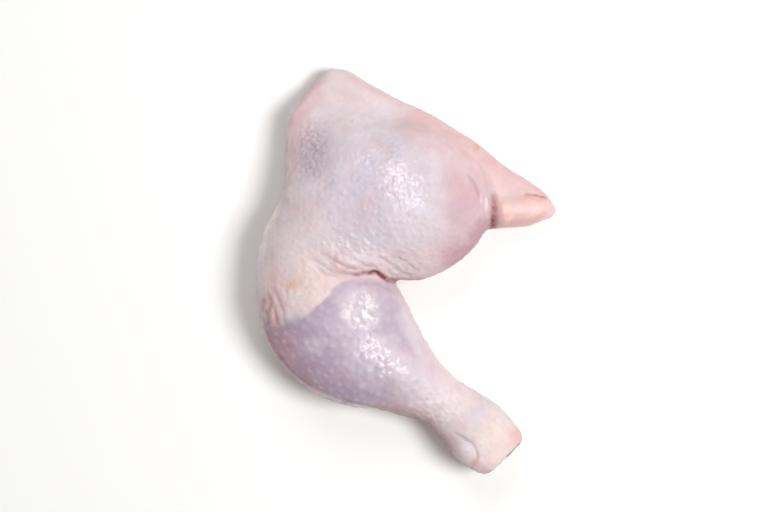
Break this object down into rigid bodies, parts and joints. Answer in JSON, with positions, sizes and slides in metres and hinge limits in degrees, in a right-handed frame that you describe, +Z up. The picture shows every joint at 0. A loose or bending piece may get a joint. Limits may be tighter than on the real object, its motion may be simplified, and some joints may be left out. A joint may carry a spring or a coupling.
{
  "type": "chicken leg",
  "caption": "Raw chicken leg with its skin on: thigh, bent drumstick and the tail end of the back in one piece, lying on its inner side.",
  "frame": {"origin": "on the table, under the middle of the leg's outline", "axes": "+Y from the hock end to the hip, +X from the bent knee to the tail, +Z up from the table"},
  "size_m": [0.1374, 0.186, 0.0441],
  "materials": {
    "skin": "moist raw poultry skin, pale cream-pink over violet lean flesh, softly glossy"
  },
  "bodies": {
    "root": {"chicken_leg": "skin"}
  },
  "joints": []
}
